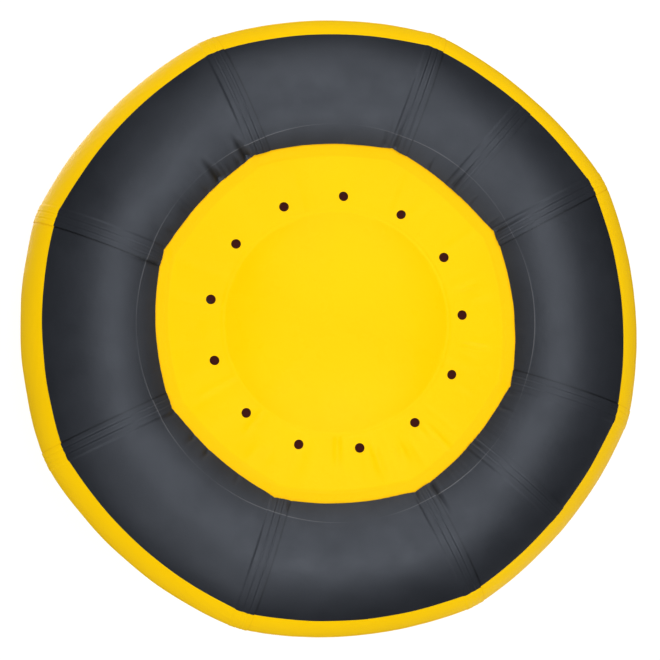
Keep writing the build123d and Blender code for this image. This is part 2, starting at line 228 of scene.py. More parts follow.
RING = [Segment(index) for index in range(len(SEGMENTS))]
NAMED = {segment.name: segment for segment in RING}
BAND = 2.3  # half the angle over which a seam's lap lies straight, in degrees


def hull_reach(theta, phi, rho):
    """The same for the whole ring, with each seam's corner eased across its stiff lap."""
    theta = np.asarray(theta, dtype=float)
    phi, rho = np.broadcast_to(phi, theta.shape), np.broadcast_to(rho, theta.shape)
    turn = theta % 360
    result = np.zeros_like(theta)
    for segment in RING:
        for shift in (0, 360):
            inside = (turn - shift >= segment.start) & (turn - shift < segment.end)
            result[inside] = segment.reach(turn[inside] - shift, phi[inside], rho[inside])
    for index, (seam, _) in enumerate(SEAMS):
        gap = (turn - seam + 180) % 360 - 180
        near = np.abs(gap) < BAND
        if not near.any():
            continue
        before, after = RING[index], RING[(index + 1) % len(RING)]
        low = before.reach(before.end - BAND, phi[near], rho[near])
        high = after.reach(after.start + BAND, phi[near], rho[near])
        share = (gap[near] + BAND) / (2 * BAND)
        straight = 1 / ((1 - share) / low + share / high)
        result[near] = straight
    return result


def hull_points(theta, phi, rho):
    reach = hull_reach(theta, phi, rho)
    turn = np.radians(theta)
    height = SPINE_HEIGHT - rho * np.cos(np.radians(phi))
    return np.stack([reach * np.cos(turn), reach * np.sin(turn), height], axis=-1)


def wrinkles(kind, theta, phi):
    """Gathers where the inflated sheet is short of room, in millimetres."""
    if kind == "bottom_panel":
        fine = 0.07 * ripple(theta, 90, 220, 9, 1) * smooth(-14, -30, phi)
        broad = 0.25 * ripple(theta, 14, 40, 6, 2) * smooth(-4, -32, phi)
        dents = np.zeros_like(theta)
        for centre, lean, width, depth, foot, head in FOLDS:
            along = np.clip((head - phi) / (head - foot), 0, 1) ** 1.3
            gap = (theta - centre - lean * along + 180) % 360 - 180
            spread = width * (0.45 + 0.55 * along)
            dents -= depth * bell(gap, 0, spread) * along
            dents += 0.12 * depth * (bell(gap, 2 * spread, spread) + bell(gap, -2 * spread, spread)) * along
        return fine + broad + dents * (0.2 + 0.8 * smooth(FLOOR_LINE - 0.5, FLOOR_LINE + 3.5, phi))
    if kind == "inner_panel":
        lean = np.sin(np.radians(phi - 180)) ** 2
        fine = 0.7 * ripple(theta, 40, 110, 9, 3) * bell(phi, 275, 26)
        return lean * (fine + 0.5 * ripple(theta, 12, 30, 5, 4))
    if kind == "side_panel":
        return 0.4 * ripple(theta, 10, 34, 6, 5) + 0.1 * ripple(theta + 0.6 * phi, 60, 110, 6, 6)
    return 0.4 * ripple(theta, 12, 36, 6, 7)


def off_patches(segment_middle, theta):
    """0 under the welded patches in the middle of a deck panel, which hold it flat, and 1 clear of them."""
    along = SPINE_MID * np.radians(np.abs(theta - segment_middle))
    return smooth(134, 158, along)


# Folds in the black base beside the floor: angle where each begins, its lean on the way to the floor and
# its half width, in degrees, its depth, and the section angles between which it runs.
FOLDS = [
    (234.0, 0.3, 1.3, 7.5, -40, -13),
    (236.6, 0.4, 0.7, 3.6, -40, -22),
    (228.6, 0.6, 1.1, 3.6, -40, -30),
    (244.2, 1.0, 1.2, 7.5, -40, -13),
    (241.6, 0.6, 0.8, 3.4, -40, -26),
    (238.6, 0.4, 0.6, 2.2, -40, -29),
    (219.6, 0.6, 0.8, 2.4, -40, -29),
    (212.0, 0.5, 1.0, 2.6, -40, -28),
    (206.9, 0.4, 0.7, 2.6, -40, -27),
    (200.9, 0.5, 0.9, 2.4, -40, -4),
    (196.0, 0.6, 0.6, 1.5, -40, -29),
    (188.0, 0.6, 0.9, 1.8, -40, -29),
    (177.0, 0.6, 0.9, 1.6, -40, -30),
    (168.0, 0.4, 0.8, 1.8, -40, -28),
    (154.0, 0.5, 0.9, 2.8, -40, -24),
    (149.5, 0.4, 0.7, 1.8, -40, -30),
    (144.6, 0.5, 0.9, 4.2, -40, -26),
    (138.4, 0.5, 1.1, 4.6, -40, -28),
    (126.0, 0.4, 0.8, 2.8, -40, -29),
    (108.3, 0.0, 0.6, 2.4, -40, -28),
    (63.2, 0.3, 0.8, 2.8, -40, -3),
    (68.9, 0.2, 0.7, 2.2, -40, -27),
    (44.6, 0.4, 0.6, 1.6, -40, -26),
    (30.6, 0.3, 0.7, 1.8, -40, -24),
    (25.6, 0.2, 0.7, 2.6, -40, -28),
    (15.4, 0.2, 0.7, 1.8, -40, -27),
    (275.3, 0.4, 0.5, 1.6, -40, -27),
    (288.6, 0.4, 0.8, 2.2, -40, -10),
    (292.0, 0.2, 0.6, 2.6, -40, -4),
    (304.0, 0.3, 0.6, 1.8, -40, -28),
    (313.8, 0.2, 0.7, 1.8, -40, -6),
    (321.5, 0.3, 0.6, 1.6, -40, -28),
    (330.4, 0.3, 0.8, 2.0, -40, -26),
    (333.6, 0.2, 0.7, 2.8, -40, -9),
]


def lap_relief(u, on_top):
    """How far a lapped sheet stands off the tube, u millimetres inside its seam."""
    if not on_top:
        return np.zeros_like(u)
    step = LAYER * smooth(LAP_HALF + 4.5, LAP_HALF - 0.5, u)
    rails = 0.34 * bell(u, -4.6, 1.2) - 0.5 * bell(u, -7.2, 1.2)
    rails = rails + 0.34 * bell(u, 7.6, 1.3) - 0.42 * bell(u, 4.8, 1.3)
    return step + rails


def lap_shade(u, on_top):
    """Painted shade along a lap: a dark line painted on the free edge of the upper sheet, and a painted
    contact shadow beside it on the lower one.
    """
    if on_top:
        return smooth(-15.7, -17.0, u)
    return smooth(LAP_HALF + 3.6, LAP_HALF + 1.2, u) * smooth(LAP_HALF - 2.5, LAP_HALF - 0.5, u)


def column_layout(coarse, reach):
    """Column places for a panel: near its first seam, in its middle, and near its last seam."""
    fine = graded(-LAP_HALF, reach, coarse, [(2.0, 22.0, 1.2)])
    middle = np.linspace(0, 1, 2 + int(260 / coarse))[1:-1]
    places = [("start", u) for u in fine] + [("middle", share) for share in middle]
    return places + [("end", u) for u in fine[::-1]]


KINDS = {
    # kind: (first and last section angle, radius of its outer face, coarse step, material)
    "bottom_panel": (FLOOR_LINE, BASE_EDGE, DECK_RADIUS, 4.0, "black_pvc"),
    "side_panel": (BASE_EDGE - LAP_TURN, DECK_EDGE + LAP_TURN, TUBE_RADIUS, 5.0, "yellow_pvc"),
    "top_panel": (DECK_EDGE, WELL_EDGE, DECK_RADIUS, 5.0, "yellow_pvc"),
    "inner_panel": (WELL_EDGE - LAP_TURN, FLOOR_EDGE + 358.8, TUBE_RADIUS, 5.0, "yellow_pvc"),
}


def panel_mesh(name, kind, segment, start, end, start_on_top, end_on_top, strength=(1.0, 1.0)):
    """One welded panel between two seams, as a closed sheet with its laps, welds and gathers."""
    low, high, radius, coarse, look = KINDS[kind]
    spots = [(low, 5, 0.5), (high, 5, 0.5)]
    if kind == "bottom_panel":
        spots.append((FLANGE_MIDDLE, 3.4, 0.3))
    phi = graded(low, high, math.degrees(coarse / radius), spots)
    base_reach = (SPINE_MID + SPINE_SEAM) / 2 + radius * np.sin(np.radians(phi))
    inner_u = 30.0

    def angle_at(u, seam, side):
        return seam + side * np.degrees(np.arcsin(np.clip(u / base_reach, -1, 1)))

    first, last = angle_at(inner_u, start, 1), angle_at(inner_u, end, -1)
    columns = []
    for place, value in column_layout(coarse, inner_u):
        if place == "start":
            columns.append(angle_at(value, start, 1))
        elif place == "end":
            columns.append(angle_at(value, end, -1))
        else:
            columns.append(first + (last - first) * value)
    theta = np.array(columns)
    phi_grid = np.broadcast_to(phi, theta.shape).copy()
    from_start = base_reach * np.sin(np.radians(theta - start))
    from_end = base_reach * np.sin(np.radians(end - theta))

    relief = np.zeros_like(theta)
    shade = np.zeros_like(theta)
    beyond = np.zeros_like(theta)
    # strength, by kind of panel, of the painted shade along the laps: dark free edges and contact shadows
    grime_and_painted_shade = {"bottom_panel": 1.0, "side_panel": 0.25, "top_panel": 0.5, "inner_panel": 0.5}[kind]
    for u, on_top, power in ((from_start, start_on_top, strength[0]), (from_end, end_on_top, strength[1])):
        relief = relief + lap_relief(u, on_top) * (0.4 + 0.6 * power)
        shade = shade + power * grime_and_painted_shade * lap_shade(u, on_top)
        if not on_top:
            relief = relief - 0.9 * smooth(1.0, -4.0, u)
        step = power * smooth(0.5, -1.5, u) * (1.0 if on_top else -1.0)
        beyond = np.where(np.abs(step) > np.abs(beyond), step, beyond)
    if kind in ("side_panel", "inner_panel"):
        hidden = smooth(low + LAP_TURN - 0.3, low + LAP_TURN - 1.0, phi_grid)
        if kind == "side_panel":
            hidden = hidden + smooth(high - LAP_TURN + 0.3, high - LAP_TURN + 1.0, phi_grid)
        relief = relief * (1 - hidden)
    gathers = wrinkles(kind, theta, phi_grid)
    if kind == "top_panel":
        gathers = gathers * off_patches(segment.middle, theta)
    relief = relief + gathers
    line = np.zeros_like(theta)
    share = (phi_grid - low) / (high - low)
    if kind == "bottom_panel":
        # painted shade in the folds: the deeper a gather, the darker its colour is painted
        shade = shade + 0.95 * smooth(0.4, 2.2, -gathers)
        # the free edges wander, and step where the laps end
        inner = drift(theta, FLOOR_DRIFT) + INNER_PEAK * peaks(theta, INNER_LEAN)
        inner += 0.03 * ripple(theta, 20, 60, 6, 12) - 0.1 * beyond
        outer = drift(theta, BASE_DRIFT) + OUTER_PEAK * peaks(theta, OUTER_LEAN)
        outer += 0.1 * ripple(theta, 16, 50, 6, 13) + 0.35 * beyond
        phi_grid = phi_grid + inner * (1 - share) ** 4 + outer * share**4
        flange = np.degrees(np.arcsin((FLANGE_REACH - hull_reach(theta, 0.0, radius)) / radius))
        seen = np.clip(0.6 + 0.4 * ripple(theta, 3, 9, 4, 15), 0.15, 1)
        line = bell(phi_grid, flange, 0.34) * seen
        relief = relief + 0.3 * line + 0.1 * smooth(flange + 0.2, flange - 0.6, phi_grid)
    if kind == "top_panel":
        phi_grid = phi_grid + 0.3 * ripple(theta, 16, 50, 6, 14) * (share**6 - (1 - share) ** 6)
    outside = hull_points(theta, phi_grid, radius + relief)
    inside = hull_points(theta, phi_grid, radius + relief - SHEET)
    rows, columns = phi_grid.shape
    points = np.concatenate([outside.reshape(-1, 3), inside.reshape(-1, 3)])
    faces = sheet_faces(rows, columns)
    marks = {"weld": np.tile(line.ravel(), 2), "shade": np.tile(shade.ravel(), 2)}
    thing = sharpen(mesh_object(name, points, faces, **marks))
    return finish_piece(thing, look, "hull", name)


def build_hull():
    for segment in RING:
        tops = (segment.start_rule == 1, segment.end_rule == -1)
        for kind in KINDS:
            name = f"{kind}_{segment.name}"
            ends = (segment.start, segment.end)
            if kind == "bottom_panel" and segment.name in SPLITS:
                angle, rule = SPLITS[segment.name]
                panel_mesh(name + "_a", kind, segment, ends[0], angle, tops[0], rule == -1, (1.0, 0.35))
                panel_mesh(name + "_b", kind, segment, angle, ends[1], rule == 1, tops[1], (0.35, 1.0))
            else:
                panel_mesh(name, kind, segment, *ends, *tops)


# ---- the floor and the seat ----
def floor_folds(reach, theta, edge):
    """Radial gathers between the seat's weld and the tube, uneven in size and place."""
    dice = random.Random(SEED + 3)
    folds = np.zeros_like(reach)
    share = np.clip((reach - DISC_RADIUS) / (edge - DISC_RADIUS), 0, 1)
    for index in range(64):
        centre = index * 5.625 + dice.uniform(-2.4, 2.4)
        width = dice.uniform(0.8, 2.4)
        size = dice.uniform(-2.3, 2.3) * (0.75 + 0.6 * math.cos(math.radians(centre - 55)))
        first, last = dice.uniform(-0.2, 0.35), dice.uniform(0.55, 1.0)
        lean = dice.uniform(-2.0, 2.0)
        gap = (theta - centre - lean * share + 180) % 360 - 180
        span = smooth(first, first + 0.3, share) * smooth(last, last - 0.3, share)
        folds += size * bell(gap, 0, width) * span
    return folds * smooth(DISC_RADIUS, DISC_RADIUS + 7, reach)


def floor_height(reach, theta, edge, rim):
    """Height of the floor's underside: the dome under the seat, and the gathers round it."""
    share = np.clip(reach / DISC_RADIUS, 0, 1)
    dome = -DISC_SAG * (1 - share**4)
    dome -= 0.6 * bell(reach, DISC_RADIUS + 3, 3.0)
    gentle = 0.25 * ripple(theta, 10, 26, 5, 23) * smooth(DISC_RADIUS, DISC_RADIUS + 20, reach)
    middle = smooth(DISC_RADIUS, DISC_RADIUS - 60, reach)
    slant = math.radians(48)
    turn = np.radians(theta)
    along = reach * (np.cos(turn) * math.sin(slant) + np.sin(turn) * math.cos(slant))
    streaks = 0.13 * np.sin(along / 13.0 + 1.5 * np.sin(along / 41.0)) * middle
    weld = 0.3 * bell(reach, edge - 24, 1.6)
    inner = FLOOR_LOW + dome + gentle + floor_folds(reach, theta, edge) + streaks - weld
    blend = smooth(edge - 26, edge, reach)
    return inner * (1 - blend) + rim * blend


def build_floor():
    theta = np.arange(0, 360, 0.75)
    share = np.concatenate([np.linspace(0.004, 0.60, 30)[:-1], np.linspace(0.60, 1.0, 58)])
    line = FLOOR_LINE + drift(theta, FLOOR_DRIFT) + INNER_PEAK * peaks(theta, INNER_LEAN)
    under = TUBE_RADIUS - 1.9
    edge = hull_reach(theta, line, under)
    reach = np.outer(share, edge)
    turn = np.broadcast_to(theta, reach.shape)
    edges = np.broadcast_to(edge, reach.shape)
    rim = np.broadcast_to(SPINE_HEIGHT - under * np.cos(np.radians(line)), reach.shape)
    height = floor_height(reach, turn, edges, rim)
    low = np.stack([reach * np.cos(np.radians(turn)), reach * np.sin(np.radians(turn)), height], axis=-1)
    above = low + np.array([0, 0, SHEET])
    # the flange, welded under the edge of the black base, which it follows into its folds
    flange_turn, climb = np.meshgrid(theta, np.arange(0.8, 9, 1.4))
    flange_phi = climb + line
    gathers = wrinkles("bottom_panel", flange_turn, flange_phi)
    flange = hull_points(flange_turn, flange_phi, under + gathers)
    behind = hull_points(flange_turn, flange_phi, under + gathers - SHEET)
    outer = np.concatenate([low, flange])
    inner = np.concatenate([above, behind])
    rows, columns = outer.shape[:2]
    size = rows * columns
    points = np.concatenate([outer.reshape(-1, 3), inner.reshape(-1, 3)])
    middle = [[0, 0, low[0, 0, 2]], [0, 0, low[0, 0, 2] + SHEET]]
    points = np.concatenate([points, middle])
    faces = sheet_faces(rows, columns, wrap=True)[: -2 * columns]
    for c in range(columns):
        d = (c + 1) % columns
        faces.append(((rows - 1) * columns + c, (rows - 1) * columns + d,
                      size + (rows - 1) * columns + d, size + (rows - 1) * columns + c))
        faces.append((2 * size, d, c))
        faces.append((2 * size + 1, size + c, size + d))
    faces = [tuple(reversed(face)) for face in faces]
    rest = np.ones(size - reach.size)
    band = np.concatenate([smooth(edges - 24.5, edges - 22.5, reach).ravel(), rest])
    weld = np.concatenate([bell(reach, edges - 24, 1.8).ravel(), 0 * rest])
    marks = {"band": np.append(np.tile(band, 2), [0, 0]), "weld": np.append(np.tile(weld, 2), [0, 0])}
    thing = mesh_object("floor_sheet", points, faces, **marks)
    punch_drains(thing)
    sharpen(thing)
    return finish_piece(thing, "floor_pvc", "hull", "floor_sheet")


def punch_drains(floor):
    """Cuts the drain holes, each a little out of round as punched PVC is."""
    dice = random.Random(SEED + 5)
    sides = 40
    points, faces = [], []
    for index in range(DRAIN_COUNT):
        turn = math.radians(360 / DRAIN_COUNT * index)
        centre = (DRAIN_CIRCLE * math.cos(turn), DRAIN_CIRCLE * math.sin(turn))
        lean = dice.uniform(0, math.pi)
        squeeze = dice.uniform(0.92, 1.0)
        first = len(points)
        for height in (FLOOR_LOW - 9, FLOOR_LOW + 12):
            for k in range(sides):
                a = 2 * math.pi * k / sides
                x, y = DRAIN_RADIUS * math.cos(a), DRAIN_RADIUS * squeeze * math.sin(a)
                points.append((
                    centre[0] + x * math.cos(lean) - y * math.sin(lean),
                    centre[1] + x * math.sin(lean) + y * math.cos(lean),
                    height,
                ))
        for k in range(sides):
            n = (k + 1) % sides
            faces.append((first + k, first + n, first + sides + n, first + sides + k))
        faces.append(tuple(first + k for k in reversed(range(sides))))
        faces.append(tuple(first + sides + k for k in range(sides)))
    cutter = mesh_object("drain_cutter", points, faces, smooth_shade=False)
    cut = floor.modifiers.new("drains", "BOOLEAN")
    cut.operation = "DIFFERENCE"
    cut.solver = "EXACT"
    cut.object = cutter
    apply_modifiers(floor)
    bpy.data.objects.remove(cutter, do_unlink=True)


def apply_modifiers(thing):
    graph = bpy.context.evaluated_depsgraph_get()
    mesh = bpy.data.meshes.new_from_object(thing.evaluated_get(graph))
    thing.modifiers.clear()
    thing.data = mesh


def turned_mesh(profile, columns):
    """Points and faces of a closed outline turned round the Z axis; its first and last points are on it."""
    count = len(profile)
    angles = np.radians(np.arange(columns) * 360 / columns)
    points = [(0.0, 0.0, profile[0][1])]
    for radius, height in profile[1:-1]:
        points += [(radius * math.cos(a), radius * math.sin(a), height) for a in angles]
    points.append((0.0, 0.0, profile[-1][1]))
    faces = []
    for c in range(columns):
        n = (c + 1) % columns
        faces.append((0, 1 + n, 1 + c))
        for row in range(count - 3):
            a, b = 1 + row * columns + c, 1 + row * columns + n
            faces.append((a, b, b + columns, a + columns))
        last = 1 + (count - 3) * columns
        faces.append((last + c, last + n, len(points) - 1))
    return np.array(points), faces


def build_seat():
    """The padded cover: a crowned cushion with sewn channels, and a thin skirt over the drains."""
    low = FLOOR_LOW + SHEET + 1.7
    top = FLOOR_LOW + SHEET + PAD_RISE
    inner = [(r, top - 1.6 + 4.5 * (1 - (r / PAD_RADIUS) ** 2)) for r in np.linspace(0, PAD_RADIUS - 8, 30)]
    wall = []
    for k in range(1, 9):
        a = math.radians(90 * k / 8)
        wall.append((PAD_RADIUS - 8 + 9 * math.sin(a), top - 10.5 + 9 * math.cos(a)))
    wall.append((PAD_RADIUS + 1.6, top - 14))
    wall.append((PAD_RADIUS + 1.4, low + 3.5))
    wall += [(PAD_RADIUS + 2.4, low + 1.9), (PAD_RADIUS + 5, low + 1.3)]
    skirt = [(r, low + 1.2) for r in np.linspace(PAD_RADIUS + 10, SKIRT_RADIUS - 0.6, 12)]
    skirt += [(SKIRT_RADIUS, low + 0.9), (SKIRT_RADIUS, low + 0.3), (SKIRT_RADIUS - 0.6, low)]
    under = [(r, low) for r in np.linspace(SKIRT_RADIUS - 8, 6, 30)]
    dome = [(r, low - 0.2) for r in (4.0, 2.0)]
    profile = inner + wall + skirt + under + dome + [(0, low - 0.2)]
    points, faces = turned_mesh(profile, 288)
    reach = np.hypot(points[:, 0], points[:, 1])
    theta = np.degrees(np.arctan2(points[:, 1], points[:, 0]))
    on_top = (points[:, 2] > top - 3.5) & (reach < PAD_RADIUS)
    outer_seam, inner_seam = 128, 62
    ring = bell(reach, outer_seam, 5.5) + bell(reach, inner_seam, 5.0)
    spoke = np.zeros_like(reach)
    for k in range(8):
        gap = np.abs((theta - 45 * k - 22.5 + 180) % 360 - 180)
        aside = reach * np.sin(np.radians(np.minimum(gap, 90)))
        ends = smooth(inner_seam - 4, inner_seam + 4, reach) * smooth(196, 188, reach)
        spoke = np.maximum(spoke, bell(aside, 0, 5.0) * ends)
    groove = np.clip(np.maximum(ring, spoke), 0, 1)
    pucker = 1 + 0.35 * np.sin(reach / 2.6) * (spoke > 0.05)
    pucker = pucker + 0.3 * np.sin(np.radians(theta) * 150) * (ring > 0.05)
    swell = 0.7 * ripple(theta, 6, 18, 5, 31) * smooth(40, 120, reach)
    points[:, 2] += np.where(on_top, -3.6 * groove * pucker + swell, 0)
    flap = (reach > PAD_RADIUS + 8)
    wave = 0.5 * np.abs(ripple(theta, 10, 26, 5, 32)) * smooth(PAD_RADIUS + 8, SKIRT_RADIUS, reach)
    points[:, 2] += np.where(flap, wave, 0)
    # beneath marks the cover's underside, which the fabric paints dark red-brown: painted shade and yellow
    # bounce light, as seen through the drains
    beneath = (points[:, 2] < low + 0.5).astype(float)
    thing = mesh_object("seat_cover", points, faces, weld=groove * on_top, beneath=beneath)
    finish_piece(thing, "black_fabric", "hull", "seat_cover", "seat_foam_pad")
    return thing


# ---- straps, handles and patches ----
def local_frame(segment, angle):
    """Origin, along the ring, up the section and outwards, on the deck in the middle of a segment."""
    turn = math.radians(angle)
    middle = math.radians(segment.middle)
    spin = Matrix.Rotation(middle, 3, "Z")
    reach = SPINE_MID + DECK_RADIUS * math.sin(turn)
    origin = spin @ Vector((reach, 0, SPINE_HEIGHT - DECK_RADIUS * math.cos(turn)))
    outward = spin @ Vector((math.sin(turn), 0, -math.cos(turn)))
    along = spin @ Vector((0, 1, 0))
    return origin, along, outward.cross(along), outward


def on_deck(segment, angle, x, y, height):
    """A point on the deck, x along the ring and y up the section from an angle, raised by a height."""
    phi = angle + math.degrees(y / DECK_RADIUS)
    rho = DECK_RADIUS + height
    level = segment.bend + rho * math.sin(math.radians(phi))
    turn = x / (segment.bend + DECK_RADIUS * math.sin(math.radians(angle)))
    local = Vector((level * math.cos(turn) - segment.set_back, level * math.sin(turn), 0))
    local.z = SPINE_HEIGHT - rho * math.cos(math.radians(phi))
    return Matrix.Rotation(math.radians(segment.middle), 3, "Z") @ local


def patch_mesh(name, segment, angle, length, width, corner, thick, base=0.1):
    """A welded patch that follows the tube, with rounded corners and an embossed weld line inside."""
    half_x, half_y = length / 2, width / 2

    def outline(inset, k, count):
        a = 2 * math.pi * k / count
        radius = max(corner - inset, 1.0)
        cx, cy = half_x - inset - radius, half_y - inset - radius
        return (math.copysign(cx, math.cos(a)) + radius * math.cos(a),
                math.copysign(cy, math.sin(a)) + radius * math.sin(a))

    count = 144
    insets = [0, 0.25, 0.8, 3.0, 5.2, 6.0, 6.8, 9.0]
    heights = [thick - 0.45, thick - 0.12, thick, thick, thick, thick - 0.35, thick, thick]
    shares = [0.8, 0.6, 0.4, 0.2]
    points, rings = [], 0
    for inset, height in zip(insets, heights):
        for k in range(count):
            x, y = outline(inset, k + 0.5, count)
            points.append(on_deck(segment, angle, x, y, base + height))
        rings += 1
    for share in shares:
        for k in range(count):
            x, y = outline(9.0, k + 0.5, count)
            points.append(on_deck(segment, angle, x * share, y * share, base + thick))
        rings += 1
    points.append(on_deck(segment, angle, 0, 0, base + thick))
    centre = len(points) - 1
    for k in range(count):
        x, y = outline(0, k + 0.5, count)
        points.append(on_deck(segment, angle, x, y, base))
    floor_ring = centre + 1
    points.append(on_deck(segment, angle, 0, 0, base))
    faces = []
    for k in range(count):
        n = (k + 1) % count
        for row in range(rings - 1):
            a, b = row * count + k, row * count + n
            faces.append((a, b, b + count, a + count))
        faces.append(((rings - 1) * count + k, (rings - 1) * count + n, centre))
        faces.append((n, k, floor_ring + k, floor_ring + n))
        faces.append((floor_ring + n, floor_ring + k, len(points) - 1))
    thing = sharpen(mesh_object(name, points, faces), 50)
    return thing


def tube_faces(rings, count):
    """Quads between rings of count points, and a cap at each end."""
    faces = []
    for ring in range(rings - 1):
        for k in range(count):
            a, b = ring * count + k, ring * count + (k + 1) % count
            faces.append((a, b, b + count, a + count))
    faces.append(tuple(reversed(range(count))))
    faces.append(tuple((rings - 1) * count + k for k in range(count)))
    return faces


def ribbon(points, across, width, thick):
    """A webbing ribbon through centre points, with rounded selvedges; across is its width's direction."""
    section = [(-0.5, 0.0), (-0.485, 0.32), (-0.45, 0.5), (-0.2, 0.5), (0.2, 0.5), (0.45, 0.5), (0.485, 0.32),
               (0.5, 0.0), (0.485, -0.32), (0.45, -0.5), (0.2, -0.5), (-0.2, -0.5), (-0.45, -0.5),
               (-0.485, -0.32)]
    verts = []
    count = len(section)
    for index, point in enumerate(points):
        before, after = points[max(index - 1, 0)], points[min(index + 1, len(points) - 1)]
        tangent = (after - before).normalized()
        normal = tangent.cross(across).normalized()
        for s, t in section:
            verts.append(point + across * (s * width) + normal * (t * thick))
    return verts, tube_faces(len(points), count)


def eased(points, radius_steps=3):
    """A polyline with its corners rounded by repeated corner cutting, ends kept."""
    for _ in range(radius_steps):
        cut = [points[0]]
        for a, b in zip(points, points[1:]):
            cut.append(a.lerp(b, 0.25))
            cut.append(a.lerp(b, 0.75))
        cut.append(points[-1])
        points = cut
    return points


def stitches(rows, lift, length=3.2, width=1.0):
    """Raised threads along rows of (start, end, up), as small rounded lozenges."""
    verts, faces = [], []
    for start, end, up in rows:
        direction = end - start
        count = max(1, int(direction.length / (length * 1.35)))
        step = direction / count
        unit = direction.normalized()
        side = up.cross(unit).normalized()
        for index in range(count):
            centre = start + step * (index + 0.5)
            first = len(verts)
            ends = unit * (length / 2)
            verts += [centre - ends - up * 0.1, centre + ends - up * 0.1]
            for along in (-0.28, 0.28):
                spot = centre + unit * (length * along)
                verts += [spot + side * width / 2, spot + up * lift, spot - side * width / 2]
            a, b = first, first + 1
            p, q = first + 2, first + 5
            faces += [(a, p + 1, p), (a, p + 2, p + 1), (p, p + 1, q + 1, q), (p + 1, p + 2, q + 2, q + 1)]
            faces += [(b, q, q + 1), (b, q + 1, q + 2), (a, p, q, b, q + 2, p + 2)]
    return verts, faces


def build_handle(name):
    segment = NAMED[name]
    origin, along, up, out = local_frame(segment, 180)
    patch = patch_mesh(f"handle_patch_{name}", segment, 180, 256, 86, 43, PATCH_THICK)
    finish_piece(patch, "black_pvc", "hull", f"handle_patch_{name}")

    seat = 0.1 + PATCH_THICK + WEB_THICK / 2 + 0.05

    def place(x, height):
        return origin + along * x + out * height

    route = [place(-HANDLE_FOOT - 32, seat), place(-HANDLE_FOOT - 14, seat),
             place(-HANDLE_FOOT - 3, seat + 0.4), place(-HANDLE_FOOT + 2, HANDLE_PIVOT * 0.6),
             place(-HANDLE_FOOT + 5, HANDLE_PIVOT + 6),
             place(-HANDLE_SHOULDER - 4, HANDLE_TOP - 9), place(-HANDLE_SHOULDER + 8, HANDLE_TOP),
             place(-30, HANDLE_TOP), place(0, HANDLE_TOP)]
    mirrored = [origin + along * (-(p - origin).dot(along)) + out * (p - origin).dot(out) for p in route[:-1]]
    path = eased(route + mirrored[::-1], 3)
    verts, faces = ribbon(path, up, HANDLE_WEB, WEB_THICK)
    rows = []
    for side in (-1, 1):
        a, b = side * (HANDLE_FOOT + 6), side * (HANDLE_FOOT + 29)
        top = seat + WEB_THICK / 2
        corners = [place(x, top) + up * y for x, y in ((a, -9.5), (b, -9.5), (b, 9.5), (a, 9.5))]
        loops = corners + corners[:1]
        rows += [(p, q, out) for p, q in zip(loops, loops[1:])]
        rows += [(corners[0], corners[2], out), (corners[1], corners[3], out)]
    strap = mesh_object(f"handle_strap_{name}", verts, faces)
    strap = sharpen(strap, 60)
    finish_piece(strap, "webbing", None, f"handle_strap_{name}")
    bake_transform(strap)
    thread_verts, thread_faces = stitches(rows, 0.55)
    thread = mesh_object(f"handle_stitching_{name}", thread_verts, thread_faces)
    finish_piece(thread, "thread", "hull")

    build_grip(name, origin + out * HANDLE_TOP, along, up, out)


def build_grip(name, centre, along, up, out):
    """A moulded foam grip: an oval with four finger hollows underneath and ribbed collars."""
    length, wide, high = 112.0, 34.0, 26.0
    count = 40
    stations = np.linspace(-0.5, 0.5, 113)
    verts = []
    for s in stations:
        end = min(0.5 - abs(s), 0.5)
        close = math.sqrt(1 - (1 - min(end * length / 5.0, 1)) ** 2) if end * length < 5 else 1.0
        swell = 1 + 0.05 * math.cos(2 * math.pi * s)
        collar = 0.9 * max(0.0, math.cos((abs(s) - 0.43) * length / 2.2)) ** 4 if abs(s) > 0.38 else 0.0
        for k in range(count):
            a = 2 * math.pi * k / count
            fingers = 1.7 * max(0.0, -math.sin(a)) * (0.5 + 0.5 * math.cos(8 * math.pi * s)) * (abs(s) < 0.36)
            ribs = 0.25 * math.cos(2 * math.pi * s * length / 3.0) * (abs(s) < 0.36) * max(0.0, math.sin(a))
            y = (wide / 2 * swell - 2.4 * (1 - close)) * math.cos(a)
            z = (high / 2 * swell + collar - fingers + ribs - 2.4 * (1 - close)) * math.sin(a)
            y *= 0.55 + 0.45 * close
            z *= 0.55 + 0.45 * close
            verts.append(centre + along * (s * length) + up * y + out * z)
    thing = mesh_object(f"handle_grip_{name}", verts, tube_faces(len(stations), count))
    return finish_piece(sharpen(thing, 55), "grip_rubber", f"handle_{name}", f"handle_grip_{name}")


